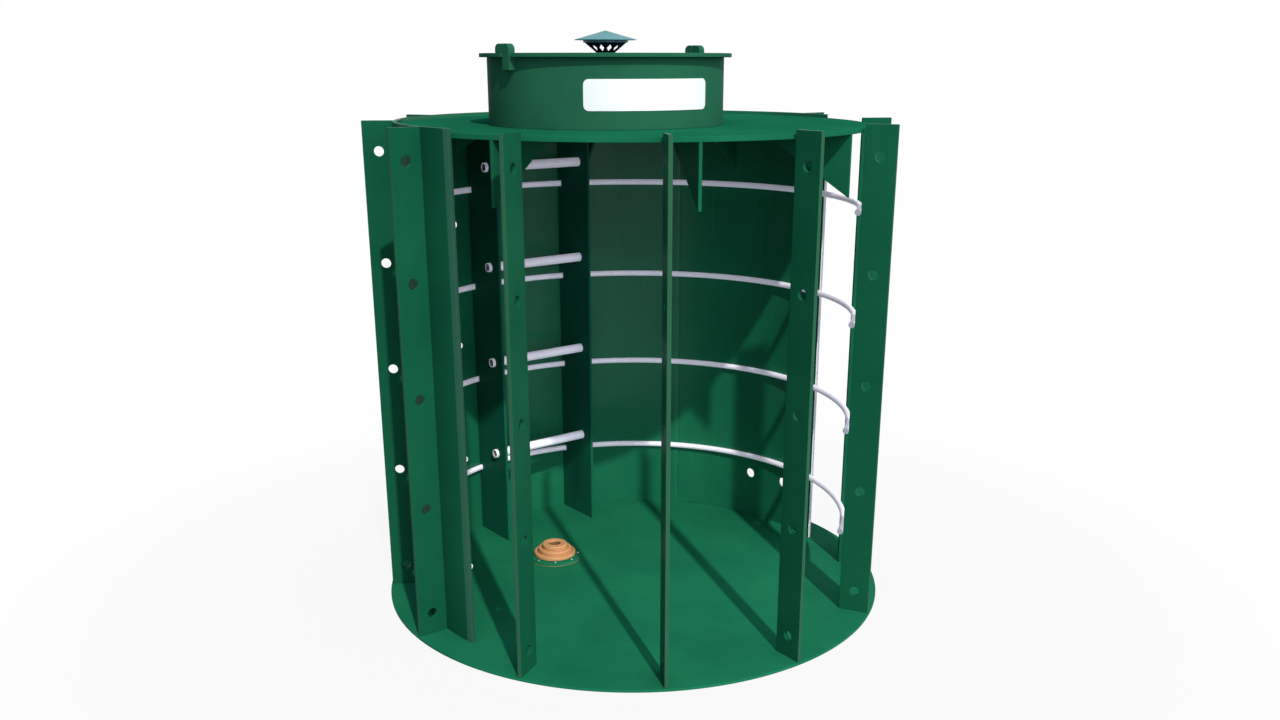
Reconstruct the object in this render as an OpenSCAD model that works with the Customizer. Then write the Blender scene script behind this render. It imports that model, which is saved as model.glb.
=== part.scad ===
// Round plastic caisson, shown with the front right third of its wall cut away.
// The origin is at the middle of the underside of the floor, +Z is up, and -Y is the front.
// Angles are measured from +X, counter-clockwise as seen from above.

/* [Floor] */
// Radius of the floor plate
floor_r = 1005; // [980:5:1200]
// Thickness of the floor plate
floor_t = 10; // [6:1:20]
// Width of the floor plate left outside the ribs
floor_lip = 5; // [2:1:20]

/* [Wall] */
// Thickness of the round wall
wall_t = 13; // [8:1:20]
// Height of the wall and the ribs above the floor plate
wall_h = 1845; // [1800:5:2400]
// Angle where the wall starts, at the right of the cutaway
wall_from = 25; // [22:0.5:26]
// Angle where the wall ends, at the left of the cutaway
wall_to = 227.5; // [227:0.5:230]

/* [Pipe holes in the wall] */
// Diameter of the pipe holes
pipe_hole_d = 45; // [20:1:80]
// Height of the pipe holes above the floor plate
pipe_hole_z = 203; // [120:1:230]
// Angle of the first pipe hole
pipe_hole_a = 38.4; // [34:0.1:44]
// Angle between the two pipe holes
pipe_hole_step = 12.4; // [8:0.1:20]
// Height of the low band of the wall that carries the pipe holes
band_h = 400; // [320:5:600]

/* [Ribs] */
// Thickness of a rib
rib_t = 15; // [8:1:25]
// Depth of a rib, from the wall outwards
rib_w = 115; // [100:1:140]
// Angle of the first rib
rib_first = 186.3; // [185:0.1:188]
// Angle between two ribs
rib_step = 30; // [28:0.5:32]
// Diameter of the holes in a rib
rib_hole_d = 37; // [16:1:60]
// Height of the lowest hole above the floor plate
rib_hole_z = 83; // [50:1:150]
// Number of holes in a rib
rib_holes = 5; // [1:1:5]
// Height from one level of holes, rungs or hoops to the next
level_h = 413; // [350:1:425]

/* [Roof] */
// Thickness of the roof plate
roof_t = 18; // [10:1:30]
// Depth of the roof plate below the top of the wall
roof_drop = 13; // [5:1:30]
// Thickness of a gusset under the roof
gusset_t = 12; // [6:1:20]
// Height of a gusset
gusset_h = 213; // [120:1:260]
// Reach of a gusset inwards from the wall
gusset_w = 335; // [200:5:345]
// Angle of the first gusset
gusset_first = 193.8; // [192:0.1:195]
// Angle between two gussets
gusset_step = 45; // [44:0.5:46]

/* [Neck and lid] */
// Outer radius of the neck
neck_r = 428; // [380:1:440]
// Thickness of the neck
neck_t = 12; // [8:1:20]
// Height of the neck above the roof plate
neck_h = 232; // [150:1:400]
// Sideways place of the neck
neck_x = -98; // [-150:1:0]
// Place of the neck from front to back
neck_y = -92; // [-150:1:0]
// Overhang of the lid past the neck
lid_over = 27; // [20:1:28]
// Thickness of the lid
lid_t = 14; // [8:1:20]

/* [Ears on the lid] */
// Angle of the hinge ear, seen from the middle of the neck
hinge_a = 220; // [200:1:240]
// Width of a whole ear
ear_w = 82; // [60:1:120]
// Depth of an ear, outwards from the neck
ear_d = 30; // [28:1:40]
// Height of an ear above the lid
ear_up = 30; // [28:1:45]
// Length of an ear below the lid
ear_down = 42; // [20:1:80]
// Radius of the rounded top corners
ear_round = 12; // [4:1:13]
// Diameter of the hinge pin
pin_d = 12; // [8:1:14]
// Gap between the fixed and the moving half of the hinge
hinge_gap = 2; // [1:0.5:6]
// Gap between the fixed and the moving half of the hasp
hasp_gap = 6; // [5:0.5:10]

/* [Vent] */
// Radius of the vent pipe where it goes through the lid
vent_r = 31; // [20:1:40]
// Radius of the cage at its top
cage_r = 76; // [60:1:90]
// Height of the cage
cage_h = 37; // [25:1:60]
// Wall of the cage
cage_t = 4; // [3:0.5:6]
// Number of windows round the cage
cage_windows = 12; // [8:2:14]
// Height of the collar under the cap
collar_h = 8; // [4:1:15]
// Radius of the cap
cap_r = 112; // [95:1:140]
// Height of the cap
cap_h = 33; // [20:1:60]
// Depth of the vent pipe below the lid
vent_down = 30; // [10:1:80]

/* [Ladder] */
// Angle of the middle of the ladder
ladder_a = 127.5; // [125:0.5:130]
// Distance between the middles of the two stringers
ladder_w = 460; // [430:5:480]
// Distance from the inner face of the wall to the inner edge of a stringer
stringer_w = 260; // [232:1:280]
// Thickness of a stringer
stringer_t = 12; // [8:1:20]
// Diameter of a rung
rung_d = 38; // [25:1:45]
// Wall of a rung pipe
rung_wall = 4; // [2:0.5:6]
// Distance from the inner face of the wall to the middle of a rung
rung_back = 188; // [152:1:202]
// Height of the lowest rung above the floor plate
rung_z = 396; // [360:1:420]
// Length of a rung past each stringer
rung_over = 12; // [4:1:25]

/* [Hoops] */
// Diameter of a hoop pipe
hoop_d = 24; // [16:1:32]
// Height of the lowest hoop above the floor plate
hoop_z = 293; // [260:1:320]
// Angle where the hoops start, past the right of the cutaway
hoop_from = -19.5; // [-22:0.5:-17]
// Angle where the hoops end, at the left of the cutaway
hoop_to = 226; // [225:0.5:227]

/* [Pipe seal] */
// Sideways place of the pipe seal
seal_x = -342; // [-380:1:-300]
// Place of the pipe seal from front to back
seal_y = 162; // [120:1:200]
// Radius of the seal's flange
flange_r = 112; // [105:1:140]
// Thickness of the seal's flange
flange_t = 14; // [8:1:20]
// Radius of the widest ring of the boot
boot_r = 89; // [85:1:98]
// Step inwards from one ring of the boot to the next
boot_step = 18; // [14:1:19]
// Height of one ring of the boot
boot_ring_h = 17; // [12:1:25]
// Radius of the mouth of the boot
boot_mouth_r = 27; // [20:1:30]

/* [Hidden] */
// Seat clearance between curved faces
fit = 0.3;
// Extra length that a cut runs past a face
past = 5;
wall_r = floor_r - floor_lip - rib_w;
wall_in = wall_r - wall_t;
wall_segments = 4;
wall_segment_a = (wall_to - wall_from) / wall_segments;
wall_top = floor_t + wall_h;
roof_top = wall_top - roof_drop;
roof_under = roof_top - roof_t;
roof_r = wall_in - fit;
rib_in = wall_r + fit;
rib_out = floor_r - floor_lip;
neck_in = neck_r - neck_t;
neck_top = roof_top + neck_h;
lid_r = neck_r + lid_over;
lid_under = neck_top + fit;
lid_top = lid_under + lid_t;
// The hinge pin stands far enough out for the lid's rim to swing clear of the neck
pin_out = ear_d * 2 / 3;
pin_z = lid_top + ear_up / 2 + 1;
pin_head_r = pin_d / 2 + 3;
pin_head_t = 4;
// Clearance of the lid's notches round the fixed halves of the ears
notch_gap = 7.5;
hoop_r = wall_in - fit - hoop_d / 2;
stringer_in = wall_in - stringer_w;
rung_in = wall_in - rung_back;
stringer_out = sqrt(pow(wall_in, 2) - pow((ladder_w + stringer_t) / 2, 2)) - fit;
hoop_cross = sqrt(pow(hoop_r, 2) - pow(ladder_w / 2, 2));
hoop_slot_d = hoop_d + 6;
rung_l = ladder_w + stringer_t + 2 * rung_over;
boot_rings = 3;
boot_lip_h = 9;
boot_wall = 6;
floor_hole_r = boot_r - 2 * boot_step;
green = [0.09, 0.42, 0.29];
dark_green = [0.06, 0.33, 0.22];
pale = [0.80, 0.79, 0.90];
$fn = 96;

// Puts its children at an angle round the caisson's axis
module round_at(a) {
    rotate([0, 0, a]) children();
}

// Puts its children on the axis of the neck
module on_neck() {
    translate([neck_x, neck_y, 0]) children();
}

// Round floor with the hole that the pipe seal covers
module floor_plate() {
    color(green)
    difference() {
        cylinder(h = floor_t, r = floor_r, $fn = 240);
        translate([seal_x, seal_y, -past]) cylinder(h = floor_t + 2 * past, r = floor_hole_r);
    }
}

// One segment of the round wall, counted from the right of the cutaway
module wall_segment(n, from = 0, to = wall_h) {
    round_at(wall_from + n * wall_segment_a)
    translate([0, 0, floor_t + from])
    rotate_extrude(angle = wall_segment_a, $fn = 240)
    translate([wall_in, 0]) square([wall_t, to - from]);
}

// The low band of the first segment carries the two pipe holes
module wall_right_low() {
    color(dark_green)
    difference() {
        wall_segment(0, 0, band_h);
        for (k = [0 : 1])
            round_at(pipe_hole_a + k * pipe_hole_step)
            translate([wall_in - past, 0, floor_t + pipe_hole_z])
            rotate([0, 90, 0]) cylinder(h = wall_t + 2 * past, d = pipe_hole_d);
    }
}

module wall_right() {
    color(dark_green) wall_segment(0, band_h);
}

module wall_plain(n) {
    color(dark_green) wall_segment(n);
}

// Flat upright rib with a row of round holes
module rib(n) {
    color(green)
    round_at(rib_first + n * rib_step)
    difference() {
        translate([rib_in, -rib_t / 2, floor_t]) cube([rib_out - rib_in, rib_t, wall_h]);
        for (k = [0 : rib_holes - 1])
            translate([(rib_in + rib_out) / 2, rib_t / 2 + past, floor_t + rib_hole_z + k * level_h])
            rotate([90, 0, 0]) cylinder(h = rib_t + 2 * past, d = rib_hole_d);
    }
}

// Roof inside the top of the wall, open under the neck
module roof_plate() {
    color(green)
    difference() {
        translate([0, 0, roof_under]) cylinder(h = roof_t, r = roof_r, $fn = 240);
        on_neck() translate([0, 0, roof_under - past]) cylinder(h = roof_t + 2 * past, r = neck_in);
    }
}

// Triangle under the roof with its upright edge at the wall
module gusset() {
    translate([roof_r - fit, gusset_t / 2, roof_under])
    rotate([90, 0, 0])
    linear_extrude(height = gusset_t)
    polygon([[0, 0], [-gusset_w, 0], [0, -gusset_h]]);
}

// One gusset is left out where the left stringer of the ladder carries the roof
module roof_gussets() {
    color(green)
    for (k = [0 : 6])
        round_at(gusset_first + k * gusset_step) gusset();
}

module neck() {
    color(green)
    on_neck()
    translate([0, 0, roof_top])
    difference() {
        cylinder(h = neck_h, r = neck_r, $fn = 180);
        translate([0, 0, -past]) cylinder(h = neck_h + 2 * past, r = neck_in, $fn = 180);
    }
}

// Thin lid with a hole for the vent and a notch round the fixed half of each ear
module lid() {
    color(green)
    on_neck()
    difference() {
        translate([0, 0, lid_under]) cylinder(h = lid_t, r = lid_r, $fn = 180);
        translate([0, 0, lid_under - past]) cylinder(h = lid_t + 2 * past, r = vent_r + fit);
        for (a = [hinge_a, hinge_a + 180])
            round_at(a)
            translate([neck_r - notch_gap, 0, lid_under - past])
            cube([lid_over + notch_gap + past, ear_w / 2 + notch_gap, lid_t + 2 * past]);
    }
}

// Side outline of half an ear between two widths, from a low end up, with one rounded top corner
module ear_outline(from, to, low) {
    high = lid_top + ear_up;
    union() {
        translate([from, low]) square([to - from, high - ear_round - low]);
        translate([from, low]) square([to - ear_round - from, high - low]);
        translate([to - ear_round, high - ear_round]) circle(r = ear_round);
    }
}

// Fixed half of an ear, welded to the neck, seated on its round face
module ear_fixed(gap) {
    difference() {
        translate([neck_r - past, 0, 0])
        rotate([90, 0, 90])
        linear_extrude(height = ear_d + past) ear_outline(gap / 2, ear_w / 2, lid_under - ear_down);
        translate([0, 0, lid_under - ear_down - past])
        cylinder(h = ear_down + lid_t + ear_up + 2 * past, r = neck_r + fit, $fn = 180);
    }
}

// Moving half of an ear, standing on the rim of the lid
module ear_moving(gap) {
    translate([neck_r, 0, 0])
    rotate([90, 0, 90])
    linear_extrude(height = ear_d)
    mirror([1, 0]) ear_outline(gap / 2, ear_w / 2, lid_top);
}

// Straight bore across an ear for the hinge pin or a padlock
module ear_bore(d) {
    translate([neck_r + pin_out, ear_w, pin_z])
    rotate([90, 0, 0]) cylinder(h = 2 * ear_w, d = d);
}

module hinge_bracket() {
    color(green)
    on_neck() round_at(hinge_a)
    difference() {
        ear_fixed(hinge_gap);
        ear_bore(pin_d + fit / 2);
    }
}

module hinge_knuckle() {
    color(green)
    on_neck() round_at(hinge_a)
    difference() {
        ear_moving(hinge_gap);
        ear_bore(pin_d + 2 * fit);
    }
}

// Headed pin through both halves of the hinge
module hinge_pin() {
    color(green)
    on_neck() round_at(hinge_a)
    translate([neck_r + pin_out, ear_w / 2 + fit, pin_z])
    rotate([90, 0, 0]) {
        cylinder(h = ear_w + fit, d = pin_d);
        translate([0, 0, -pin_head_t]) cylinder(h = pin_head_t, r = pin_head_r);
    }
}

module hasp_bracket() {
    color(green)
    on_neck() round_at(hinge_a + 180)
    difference() {
        ear_fixed(hasp_gap);
        ear_bore(pin_d);
    }
}

module hasp_block() {
    color(green)
    on_neck() round_at(hinge_a + 180)
    difference() {
        ear_moving(hasp_gap);
        ear_bore(pin_d);
    }
}

// Cage that widens upwards from the vent pipe, with crossed bars left between diamond windows
module vent_cage() {
    window_h = cage_h * 0.7;
    window_w = PI * (vent_r + cage_r) / cage_windows * 0.7;
    color([0.02, 0.11, 0.18])
    on_neck()
    difference() {
        rotate_extrude()
        polygon([
            [vent_r - cage_t, lid_under - vent_down], [vent_r, lid_under - vent_down],
            [vent_r, lid_top], [cage_r, lid_top + cage_h],
            [cage_r + cage_t, lid_top + cage_h], [cage_r + cage_t, lid_top + cage_h + collar_h],
            [cage_r - cage_t, lid_top + cage_h + collar_h], [cage_r - cage_t, lid_top + cage_h],
            [vent_r - cage_t, lid_top]
        ]);
        for (k = [0 : cage_windows / 2 - 1])
            rotate([90, 0, (k + 0.5) * 360 / cage_windows])
            translate([0, lid_top + cage_h * 0.52, -cap_r])
            linear_extrude(height = 2 * cap_r)
            polygon([[-window_w / 2, 0], [0, -window_h / 2], [window_w / 2, 0], [0, window_h / 2]]);
    }
}

// Hollow cone cap on the collar of the cage
module vent_cap() {
    base = lid_top + cage_h + collar_h;
    rim = 2;
    color([0.42, 0.66, 0.68])
    on_neck()
    rotate_extrude()
    polygon([
        [0, base + cap_h], [cap_r, base + rim], [cap_r, base],
        [cage_r - cage_t, base], [cage_r - cage_t, base + rim], [0, base + cap_h - 2 * rim - cage_t]
    ]);
}

// Upright plate of the ladder, with holes for the rungs and slots for the hoops
module stringer(side) {
    color(dark_green)
    round_at(ladder_a)
    difference() {
        translate([stringer_in, side * ladder_w / 2 - stringer_t / 2, floor_t])
        cube([stringer_out - stringer_in, stringer_t, roof_under - floor_t]);
        for (k = [0 : 3]) {
            translate([rung_in, side * ladder_w / 2 + stringer_t, floor_t + rung_z + k * level_h])
            rotate([90, 0, 0]) cylinder(h = 2 * stringer_t, d = rung_d + 2 * fit);
            translate([hoop_cross, side * ladder_w / 2 + stringer_t, floor_t + hoop_z + k * level_h])
            rotate([90, 0, 0]) cylinder(h = 2 * stringer_t, d = hoop_slot_d);
            translate([hoop_cross, side * ladder_w / 2 - stringer_t,
                floor_t + hoop_z + k * level_h - hoop_slot_d / 2])
            cube([hoop_d * 2, 2 * stringer_t, hoop_slot_d]);
        }
    }
}

// Open pipe that goes through both stringers
module rung(n) {
    color(pale)
    round_at(ladder_a)
    translate([rung_in, rung_l / 2, floor_t + rung_z + n * level_h])
    rotate([90, 0, 0])
    difference() {
        cylinder(h = rung_l, d = rung_d);
        translate([0, 0, -past]) cylinder(h = rung_l + 2 * past, d = rung_d - 2 * rung_wall);
    }
}

// Round pipe bent to the inside of the wall
module hoop(n) {
    color(pale)
    round_at(hoop_from)
    translate([0, 0, floor_t + hoop_z + n * level_h])
    rotate_extrude(angle = hoop_to - hoop_from, $fn = 240)
    translate([hoop_r, 0]) circle(d = hoop_d, $fn = 32);
}

// Flat flange under the rubber boot
module seal_flange() {
    color(green)
    translate([seal_x, seal_y, floor_t])
    difference() {
        cylinder(h = flange_t, r = flange_r);
        translate([0, 0, -past]) cylinder(h = flange_t + 2 * past, r = floor_hole_r);
    }
}

// Outline of one rounded ring of the boot, as points on a half circle
function ring_bulge(n) = [
    for (a = [-90 : 15 : 90])
        [boot_r - n * boot_step - boot_ring_h / 2 + boot_ring_h / 2 * cos(a),
         (n + 0.5) * boot_ring_h + boot_ring_h / 2 * sin(a)]
];

// Stepped rubber boot, hollow under its rings, with a round mouth for a pipe
module seal_boot() {
    top = boot_rings * boot_ring_h;
    color([0.88, 0.55, 0.33])
    translate([seal_x, seal_y, floor_t + flange_t])
    rotate_extrude()
    polygon(concat(
        ring_bulge(0), ring_bulge(1), ring_bulge(2),
        [[boot_mouth_r, top], [boot_mouth_r, top - boot_lip_h],
         [floor_hole_r, boot_wall], [floor_hole_r, 0]]
    ));
}

floor_plate();
wall_right_low();
wall_right();
wall_plain(1);  // wall_back_right
wall_plain(2);  // wall_back_left
wall_plain(3);  // wall_left
rib(0);  // rib_01
rib(1);  // rib_02
rib(2);  // rib_03
rib(3);  // rib_04
rib(4);  // rib_05
rib(5);  // rib_06
rib(6);  // rib_07
rib(7);  // rib_08
rib(8);  // rib_09
rib(9);  // rib_10
rib(10);  // rib_11
rib(11);  // rib_12
roof_plate();
roof_gussets();
neck();
lid();
hinge_bracket();
hinge_knuckle();
hinge_pin();
hasp_bracket();
hasp_block();
vent_cage();
vent_cap();
stringer(1);  // stringer_left
stringer(-1);  // stringer_right
rung(0);  // rung_1
rung(1);  // rung_2
rung(2);  // rung_3
rung(3);  // rung_4
hoop(0);  // hoop_1
hoop(1);  // hoop_2
hoop(2);  // hoop_3
hoop(3);  // hoop_4
seal_flange();
seal_boot();
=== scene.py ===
"""Dresses a round plastic caisson, shown with the front right of its wall cut away.

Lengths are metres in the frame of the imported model: +Z is up and -Y is the front.
Angles are counted from +X, counter-clockwise as seen from above.
"""

import math

import bmesh
import bpy
import numpy as np
from bpy.props import FloatProperty, FloatVectorProperty, IntProperty, PointerProperty
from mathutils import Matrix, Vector


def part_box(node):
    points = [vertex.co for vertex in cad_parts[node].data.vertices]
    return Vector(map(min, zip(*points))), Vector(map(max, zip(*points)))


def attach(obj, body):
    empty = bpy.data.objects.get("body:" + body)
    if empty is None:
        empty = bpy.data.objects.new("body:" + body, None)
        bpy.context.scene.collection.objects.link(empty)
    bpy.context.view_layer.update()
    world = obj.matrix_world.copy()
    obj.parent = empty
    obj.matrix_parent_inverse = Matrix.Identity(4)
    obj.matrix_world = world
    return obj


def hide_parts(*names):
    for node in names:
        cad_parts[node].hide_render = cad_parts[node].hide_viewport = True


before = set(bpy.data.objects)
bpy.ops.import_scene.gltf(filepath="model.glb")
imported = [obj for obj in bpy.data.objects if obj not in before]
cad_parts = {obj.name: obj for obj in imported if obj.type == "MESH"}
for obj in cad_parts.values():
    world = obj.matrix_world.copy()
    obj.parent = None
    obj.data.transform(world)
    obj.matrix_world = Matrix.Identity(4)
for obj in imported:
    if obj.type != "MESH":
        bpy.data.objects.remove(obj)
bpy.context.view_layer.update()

bl_info = {
    "name": "Plastic Caisson",
    "version": (1, 0, 0),
    "blender": (4, 5, 0),
    "location": "3D View > Sidebar > Caisson",
    "description": "Builds the dressed pieces, the finishes and the stage of a round plastic caisson",
    "category": "Object",
}


def plan_middle(node):
    """Middle of a node's box, as seen from above."""
    low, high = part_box(node)
    return (low[0] + high[0]) / 2, (low[1] + high[1]) / 2


def plan_radius(node):
    """Half the width of a round node's box."""
    low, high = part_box(node)
    return (high[0] - low[0]) / 2


FLOOR_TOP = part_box("floor_plate")[1][2]
WALL_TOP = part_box("wall_left")[1][2]
ROOF_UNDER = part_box("roof_plate")[0][2]
ROOF_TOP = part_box("roof_plate")[1][2]
NECK_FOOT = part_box("neck")[0][2]
NECK_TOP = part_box("neck")[1][2]
NECK_AT = plan_middle("neck")
NECK_RADIUS = plan_radius("neck")
LID_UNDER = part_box("lid")[0][2]
LID_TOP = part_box("lid")[1][2]
SEAL_AT = plan_middle("seal_flange")
UP = np.array([0.0, 0.0, 1.0])
# Half the width of the square block of grid cells round a hole, and the number of its cells a side.
BLOCK = 0.03
BLOCK_STEPS = 10


def length_setting(name, description, default):
    """A setting in metres."""
    return FloatProperty(name=name, description=description, default=default, unit="LENGTH")


def angle_setting(name, description, degrees):
    """A setting that is an angle, with its default given in degrees."""
    return FloatProperty(
        name=name, description=description, default=math.radians(degrees),
        subtype="ANGLE", unit="ROTATION")


def colour_setting(name, description, default):
    """A setting that is a colour, as linear values."""
    return FloatVectorProperty(
        name=name, description=description, default=default, size=3,
        min=0.0, max=1.0, subtype="COLOR")


class CaissonStage(bpy.types.PropertyGroup):
    """Camera, lamps, sky and ground."""

    lens: FloatProperty(
        name="Lens", description="Focal length of the camera", default=33.666, unit="CAMERA")
    camera_place: FloatVectorProperty(
        name="Camera place", description="Where the camera stands",
        default=(-0.0129, -4.6513, 2.0671), subtype="XYZ", unit="LENGTH")
    camera_turn: FloatVectorProperty(
        name="Camera turn", description="Euler angles of the camera",
        default=(math.pi / 2 - 0.3151, 0.0, -0.0086), subtype="EULER", unit="ROTATION")
    camera_shift: FloatProperty(
        name="Camera shift", description="Upward shift of the frame", default=0.07)
    key_azimuth: angle_setting("Key azimuth", "Side that the key light comes from", -73)
    key_height: angle_setting("Key height", "Height of the key light above the horizon", 43.2)
    key_spread: angle_setting("Key spread", "Angle across the key light, which softens its shadows", 1.2)
    key_strength: FloatProperty(
        name="Key strength", description="Strength of the key light", default=2.7)
    key_colour: colour_setting("Key colour", "Colour of the key light", (1.0, 0.99, 0.91))
    front_azimuth: angle_setting("Front fill azimuth", "Side that the soft front light comes from", -62)
    front_height: angle_setting(
        "Front fill height", "Height of the soft front light above the horizon", 12)
    front_spread: angle_setting("Front fill spread", "Angle across the soft front light", 35)
    front_strength: FloatProperty(
        name="Front fill strength", description="Strength of the soft front light", default=0.6)
    front_colour: colour_setting("Front fill colour", "Colour of the soft front light", (0.78, 0.88, 1.0))
    fill_strength: FloatProperty(
        name="Fill strength", description="Strength of the soft light of the sky", default=0.85)
    sky_towards: FloatVectorProperty(
        name="Bright side", description="Direction in which the sky is brightest",
        default=(0.6, -0.57, 0.56), subtype="XYZ")
    sky_dark: colour_setting("Dark sky", "Tint of the sky on its dark side", (0.35, 0.55, 1.0))
    sky_bright: colour_setting("Bright sky", "Tint of the sky on its bright side", (0.88, 0.95, 1.0))
    ground: colour_setting("Ground colour", "Colour of the ground", (0.3, 0.3, 0.31))


class CaissonFinish(bpy.types.PropertyGroup):
    """Colours of the plastics, the rubber, the vent and the small pieces, as linear values."""

    green: colour_setting("Green plastic", "Colour of the welded plastic sheet", (0.0125, 0.165, 0.079))
    green_deep: colour_setting("Deep green", "Darker green of the slow mottle", (0.008, 0.125, 0.062))
    # The neck green is the sheet green made greyer, the neck's own duller tone, and darker, painted shade
    # that keeps the upright neck darker than the roof.
    neck: colour_setting(
        "Neck green", "Duller green of the neck, the lid and its ears", (0.02, 0.122, 0.066))
    sawn: colour_setting("Sawn edge", "Colour of the sawn outer edges of the ribs", (0.032, 0.115, 0.062))
    # Painted reflection: the colour of the lighter strip beside the left saw cut, which stands in for a
    # reflection on the outer wall.
    scraped: colour_setting(
        "Painted strip", "Colour of the strip beside the wall's left saw cut", (0.035, 0.135, 0.085))
    cut_green: colour_setting("Left cut", "Colour of the sawn left end of the wall", (0.03, 0.1, 0.06))
    cut: colour_setting("Right cut", "Colour of the sawn right end of the wall", (0.80, 0.79, 0.86))
    pipe: colour_setting("Pale pipe", "Colour of rungs and hoops", (0.93, 0.87, 0.97))
    # Painted light: the colour of a faint emission that keeps the pale pipes bright where they stand in
    # shade.
    pipe_glow: colour_setting(
        "Pipe glow", "Colour of the faint light that shines through the pipes", (0.85, 0.8, 1.0))
    rubber: colour_setting("Orange rubber", "Colour of the pipe seal's boot", (0.66, 0.32, 0.145))
    bead: colour_setting("Bead", "Colour of the bead round the seal's flange", (0.22, 0.2, 0.07))
    zinc: colour_setting("Zinc", "Colour of the bolts in the seal's flange", (0.8, 0.8, 0.82))
    sign: colour_setting("Sign white", "Colour of the plain sign plate", (0.86, 0.86, 0.85))
    cage: colour_setting("Dark vent", "Colour of the vent's cage", (0.003, 0.012, 0.034))
    collar: colour_setting("Vent collar", "Colour of the collar under the vent's cap", (0.08, 0.19, 0.3))
    cap: colour_setting("Vent cap", "Colour of the vent's cap", (0.085, 0.25, 0.27))


class CaissonShape(bpy.types.PropertyGroup):
    """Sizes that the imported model's boxes don't give."""

    edge: FloatProperty(
        name="Edge", description="Width of the rounding on sawn sheet edges",
        default=0.0018, min=0.0002, unit="LENGTH")
    gap: length_setting("Gap", "Play between pieces that stand against each other", 0.0003)
    wall_radius: length_setting("Wall radius", "Outer radius of the round wall", 0.885)
    wall: length_setting("Wall", "Thickness of the round wall", 0.013)
    wall_from: angle_setting("Wall from", "Where the wall starts at the right of the cutaway", 25.0)
    wall_to: angle_setting("Wall to", "Where the wall ends at the left of the cutaway", 227.5)
    # Width of the lighter strip beside the left saw cut, a painted reflection.
    scraped: angle_setting("Painted strip", "Width of the scraped strip beside the left saw cut", 1.9)
    pipe_hole: length_setting("Pipe hole", "Radius of the pipe holes in the wall", 0.0225)
    pipe_height: length_setting("Pipe hole height", "Height of the pipe holes above the floor", 0.203)
    pipe_from: angle_setting("First pipe hole", "Where the right pipe hole is", 38.4)
    pipe_step: angle_setting("Pipe hole step", "Turn from the right pipe hole to the left one", 12.4)
    rib_first: angle_setting("First rib", "Where the first rib stands", 186.3)
    rib_reach: length_setting("Rib reach", "How far the ribs reach from the middle", 1.0)
    rib: length_setting("Rib", "Thickness of a rib", 0.015)
    rib_hole: length_setting("Rib hole", "Radius of the holes in the ribs", 0.0185)
    rib_hole_from: length_setting(
        "Lowest rib hole", "Height of the lowest hole of a rib above the floor", 0.083)
    level: length_setting("Level", "Height from one level of holes, rungs or hoops to the next", 0.413)
    stay_first: angle_setting("First stay", "Where the first triangle under the roof stands", 193.8)
    stay_width: length_setting("Stay width", "Length of a triangle along the roof", 0.335)
    stay_drop: length_setting("Stay drop", "Length of a triangle down the wall", 0.213)
    stay: length_setting("Stay", "Thickness of a triangle under the roof", 0.012)
    neck_wall: length_setting("Neck wall", "Thickness of the neck", 0.012)
    sign_at: angle_setting("Sign at", "Side of the neck on which the sign's middle is", -67.6)
    sign_turn: angle_setting("Sign width", "Width of the sign, as a turn about the neck", 63.0)
    sign_tall: length_setting("Sign height", "Height of the sign", 0.102)
    sign_level: length_setting("Sign level", "Height of the sign's middle", 1.9545)
    sign_round: length_setting("Sign rounding", "Radius of the sign's corners", 0.018)
    ladder_at: angle_setting("Ladder at", "Where the middle of the ladder stands", 127.5)
    ladder_width: length_setting("Ladder width", "Distance between the middles of the stringers", 0.46)
    stringer: length_setting("Stringer", "Thickness of a stringer", 0.012)
    stringer_from: length_setting(
        "Stringer edge", "Distance of the stringers' free edge from the middle", 0.612)
    rung_at: length_setting("Rung at", "Distance of the rungs from the middle", 0.684)
    rung: length_setting("Rung", "Radius of a rung", 0.019)
    rung_from: length_setting("Lowest rung", "Height of the lowest rung above the floor", 0.396)
    rung_end: length_setting("Rung end", "How far a rung stands out past a stringer", 0.012)
    tube_wall: length_setting("Tube wall", "Wall of a rung pipe", 0.004)
    hoop_at: length_setting("Hoop at", "Radius of the circle that the hoops follow", 0.8597)
    hoop: length_setting("Hoop", "Radius of a hoop's pipe", 0.012)
    hoop_from: length_setting("Lowest hoop", "Height of the lowest hoop above the floor", 0.293)
    hoop_start: angle_setting("Hoop start", "Where the hoops start at the right of the cutaway", -19.5)
    hoop_stop: angle_setting("Hoop stop", "Where the hoops end at the left of the cutaway", 226.0)
    hoop_slot: length_setting(
        "Hoop slot", "Half the height, and the depth, of a stringer's slot for a hoop", 0.015)
    lid_radius: length_setting("Lid radius", "Radius of the lid", 0.455)
    lid_hole: length_setting("Lid hole", "Radius of the hole under the vent", 0.0313)
    hinge_at: angle_setting("Hinge at", "Side of the lid on which the hinge ear stands", 220.0)
    notch_depth: length_setting(
        "Notch depth", "Depth of the lid's notch round the fixed half of an ear", 0.0345)
    notch_turn: angle_setting(
        "Notch width", "Width of that notch, as an angle from the middle of the ear", 6.6)
    ear_width: length_setting("Ear width", "Width of an ear of the lid", 0.082)
    ear_depth: length_setting("Ear depth", "How far an ear stands out from the neck", 0.024)
    ear_height: length_setting("Ear height", "Height of an ear above the lid", 0.030)
    ear_drop: length_setting("Ear drop", "How far an ear hangs below the lid", 0.042)
    ear_round: length_setting("Ear rounding", "Radius of the top corners of an ear", 0.020)
    collar: length_setting("Collar", "Outer radius of the vent's collar", 0.0812)
    seal_hole: length_setting("Seal hole", "Radius of the hole under the boot", 0.053)
    bolts: IntProperty(
        name="Seal bolts", description="Number of bolts in the flange of the pipe seal", default=8)
    bolt_ring: length_setting("Bolt ring", "Radius of the circle of bolts", 0.1005)
    bolt_first: angle_setting("First bolt", "Side of the flange on which the first bolt is", -85.5)


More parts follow.
